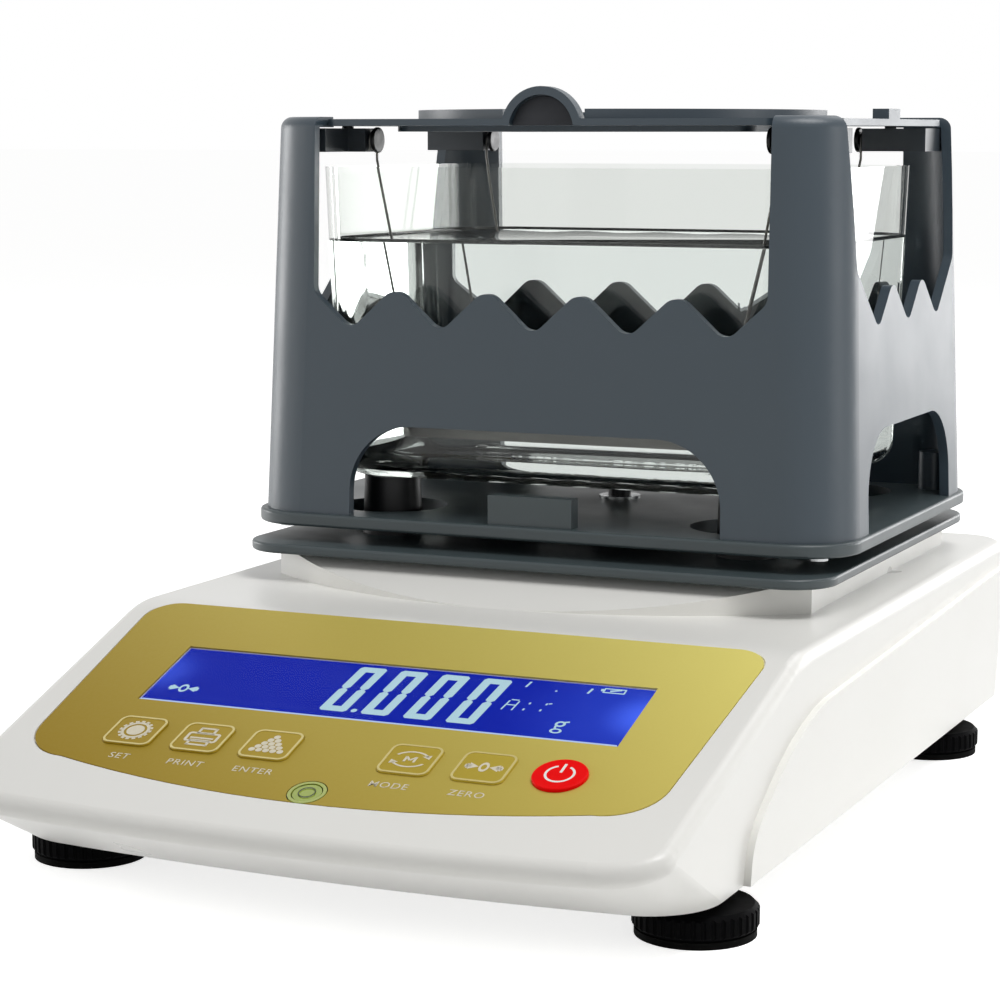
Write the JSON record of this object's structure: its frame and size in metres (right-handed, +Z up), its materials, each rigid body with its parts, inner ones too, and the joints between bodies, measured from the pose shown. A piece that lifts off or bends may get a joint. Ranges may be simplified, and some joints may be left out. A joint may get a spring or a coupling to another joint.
{
  "type": "benchtop density meter",
  "caption": "Benchtop density meter: sloped display panel, clear water tank on pillars, and a notched weighing cage that holds a tray above and a hung basket in the tank.",
  "frame": {"origin": "middle of the footprint, on the table under the feet", "axes": "+X to the instrument's right seen from the front, +Y to its back, +Z up"},
  "size_m": [0.2092, 0.3304, 0.2108],
  "materials": {
    "housing_white": "satin",
    "base_plastic": "matt",
    "panel_gold": "satin",
    "window_clear": "gloss",
    "display_blue": "gloss",
    "black_plastic": "matt",
    "board_green": "satin",
    "key_gold": "satin",
    "key_red": "gloss",
    "vial_clear": "gloss",
    "liquid_green": "gloss",
    "foot_black": "matt",
    "foot_rubber": "matt",
    "brass": "satin",
    "steel": "brushed",
    "steel_black": "satin",
    "aluminium": "satin",
    "battery_wrap": "gloss",
    "frame_slate": "satin",
    "plate_slate": "satin",
    "tank_clear": "gloss"
  },
  "bodies": {
    "housing": {"top_cover": "housing_white", "base_pan": "base_plastic", "panel_overlay": "panel_gold", "lcd_window": "window_clear", "lcd_glass": "display_blue", "lcd_holder": "black_plastic", "main_board": "board_green", "key_switches": "black_plastic", "level_cup": "vial_clear", "level_liquid": "liquid_green", "level_bubble": "vial_clear", "foot_nuts": "brass", "cover_screws": "steel", "load_cell": "aluminium", "load_cell_block": "aluminium", "overload_stops": "steel", "battery_pack": "battery_wrap", "battery_clamp": "steel", "dc_jack": "black_plastic", "serial_port": "steel", "tank_base_plate": "plate_slate", "base_plate_screws": "steel", "tank_pillar_front_left": "black_plastic", "tank_pillar_front_right": "black_plastic", "tank_pillar_back_left": "black_plastic", "tank_pillar_back_right": "black_plastic"},
    "weighing_frame": {"weighing_plate": "plate_slate", "pan_spider": "aluminium", "pan_washer": "steel", "pan_screw": "steel_black", "cage_frame": "frame_slate", "cage_screws": "steel", "hook_knobs": "steel_black", "hook_arm_front_left": "frame_slate", "hook_arm_front_right": "frame_slate", "hook_arm_back_left": "frame_slate", "hook_arm_back_right": "frame_slate"},
    "tray": {"top_tray": "frame_slate", "tray_ring": "frame_slate", "tray_rim": "frame_slate"},
    "tank": {"water_tank": "tank_clear"},
    "basket": {"hung_basket": "steel"},
    "key_set_cap": {"key_set": "key_gold"},
    "key_print_cap": {"key_print": "key_gold"},
    "key_enter_cap": {"key_enter": "key_gold"},
    "key_mode_cap": {"key_mode": "key_gold"},
    "key_zero_cap": {"key_zero": "key_gold"},
    "power_button_cap": {"power_button": "key_red"},
    "foot_pad_front_left": {"foot_pad_front_left": "foot_rubber"},
    "foot_wheel_front_left": {"foot_wheel_front_left": "foot_black"},
    "foot_pad_front_right": {"foot_pad_front_right": "foot_rubber"},
    "foot_wheel_front_right": {"foot_wheel_front_right": "foot_black"},
    "foot_pad_back_left": {"foot_pad_back_left": "foot_rubber"},
    "foot_wheel_back_left": {"foot_wheel_back_left": "foot_black"},
    "foot_pad_back_right": {"foot_pad_back_right": "foot_rubber"},
    "foot_wheel_back_right": {"foot_wheel_back_right": "foot_black"}
  },
  "joints": [
    {"name": "weigh", "type": "slide", "parent": "housing", "child": "weighing_frame", "axis": [0, 0, 1], "range_m": [-0.0004, 0.0001], "stiffness_N_per_m": 60000, "springref_m": 0.00007},
    {"name": "tray_lift", "type": "slide", "parent": "weighing_frame", "child": "tray", "axis": [0, 0, 1], "range_m": [0, 0.04]},
    {"name": "basket_lift", "type": "slide", "parent": "weighing_frame", "child": "basket", "axis": [0, 0, 1], "range_m": [0, 0.0012]},
    {"name": "tank_lift", "type": "slide", "parent": "housing", "child": "tank", "axis": [0, 0, 1], "range_m": [0, 0.003]},
    {"name": "key_set_press", "type": "slide", "parent": "housing", "child": "key_set_cap", "axis": [0, 0.3173, -0.9483], "range_m": [0, 0.0006], "stiffness_N_per_m": 1500, "springref_m": -0.0002},
    {"name": "key_print_press", "type": "slide", "parent": "housing", "child": "key_print_cap", "axis": [0, 0.3173, -0.9483], "range_m": [0, 0.0006], "stiffness_N_per_m": 1500, "springref_m": -0.0002},
    {"name": "key_enter_press", "type": "slide", "parent": "housing", "child": "key_enter_cap", "axis": [0, 0.3173, -0.9483], "range_m": [0, 0.0006], "stiffness_N_per_m": 1500, "springref_m": -0.0002},
    {"name": "key_mode_press", "type": "slide", "parent": "housing", "child": "key_mode_cap", "axis": [0, 0.3173, -0.9483], "range_m": [0, 0.0006], "stiffness_N_per_m": 1500, "springref_m": -0.0002},
    {"name": "key_zero_press", "type": "slide", "parent": "housing", "child": "key_zero_cap", "axis": [0, 0.3173, -0.9483], "range_m": [0, 0.0006], "stiffness_N_per_m": 1500, "springref_m": -0.0002},
    {"name": "power_button_press", "type": "slide", "parent": "housing", "child": "power_button_cap", "axis": [0, 0.3173, -0.9483], "range_m": [0, 0.0006], "stiffness_N_per_m": 1500, "springref_m": -0.0002},
    {"name": "foot_lift_front_left", "type": "slide", "parent": "housing", "child": "foot_pad_front_left", "axis": [0, 0, 1], "range_m": [-0.004, 0.0015]},
    {"name": "foot_turn_front_left", "type": "hinge", "parent": "foot_pad_front_left", "child": "foot_wheel_front_left", "pos_m": [-0.0886, -0.1086, 0], "axis": [0, 0, 1], "range_deg": [-1440.5, 540.5]},
    {"name": "foot_lift_front_right", "type": "slide", "parent": "housing", "child": "foot_pad_front_right", "axis": [0, 0, 1], "range_m": [-0.004, 0.0015]},
    {"name": "foot_turn_front_right", "type": "hinge", "parent": "foot_pad_front_right", "child": "foot_wheel_front_right", "pos_m": [0.0886, -0.1086, 0], "axis": [0, 0, 1], "range_deg": [-1440.5, 540.5]},
    {"name": "foot_lift_back_left", "type": "slide", "parent": "housing", "child": "foot_pad_back_left", "axis": [0, 0, 1], "range_m": [-0.004, 0.0015]},
    {"name": "foot_turn_back_left", "type": "hinge", "parent": "foot_pad_back_left", "child": "foot_wheel_back_left", "pos_m": [-0.0886, 0.1092, 0], "axis": [0, 0, 1], "range_deg": [-1440.5, 540.5]},
    {"name": "foot_lift_back_right", "type": "slide", "parent": "housing", "child": "foot_pad_back_right", "axis": [0, 0, 1], "range_m": [-0.004, 0.0015]},
    {"name": "foot_turn_back_right", "type": "hinge", "parent": "foot_pad_back_right", "child": "foot_wheel_back_right", "pos_m": [0.0886, 0.1092, 0], "axis": [0, 0, 1], "range_deg": [-1440.5, 540.5]}
  ],
  "couplings": [
    {"joint": "foot_turn_front_left", "follows": "foot_lift_front_left", "rad_per_m": 6283.2},
    {"joint": "foot_turn_front_right", "follows": "foot_lift_front_right", "rad_per_m": 6283.2},
    {"joint": "foot_turn_back_left", "follows": "foot_lift_back_left", "rad_per_m": 6283.2},
    {"joint": "foot_turn_back_right", "follows": "foot_lift_back_right", "rad_per_m": 6283.2}
  ]
}
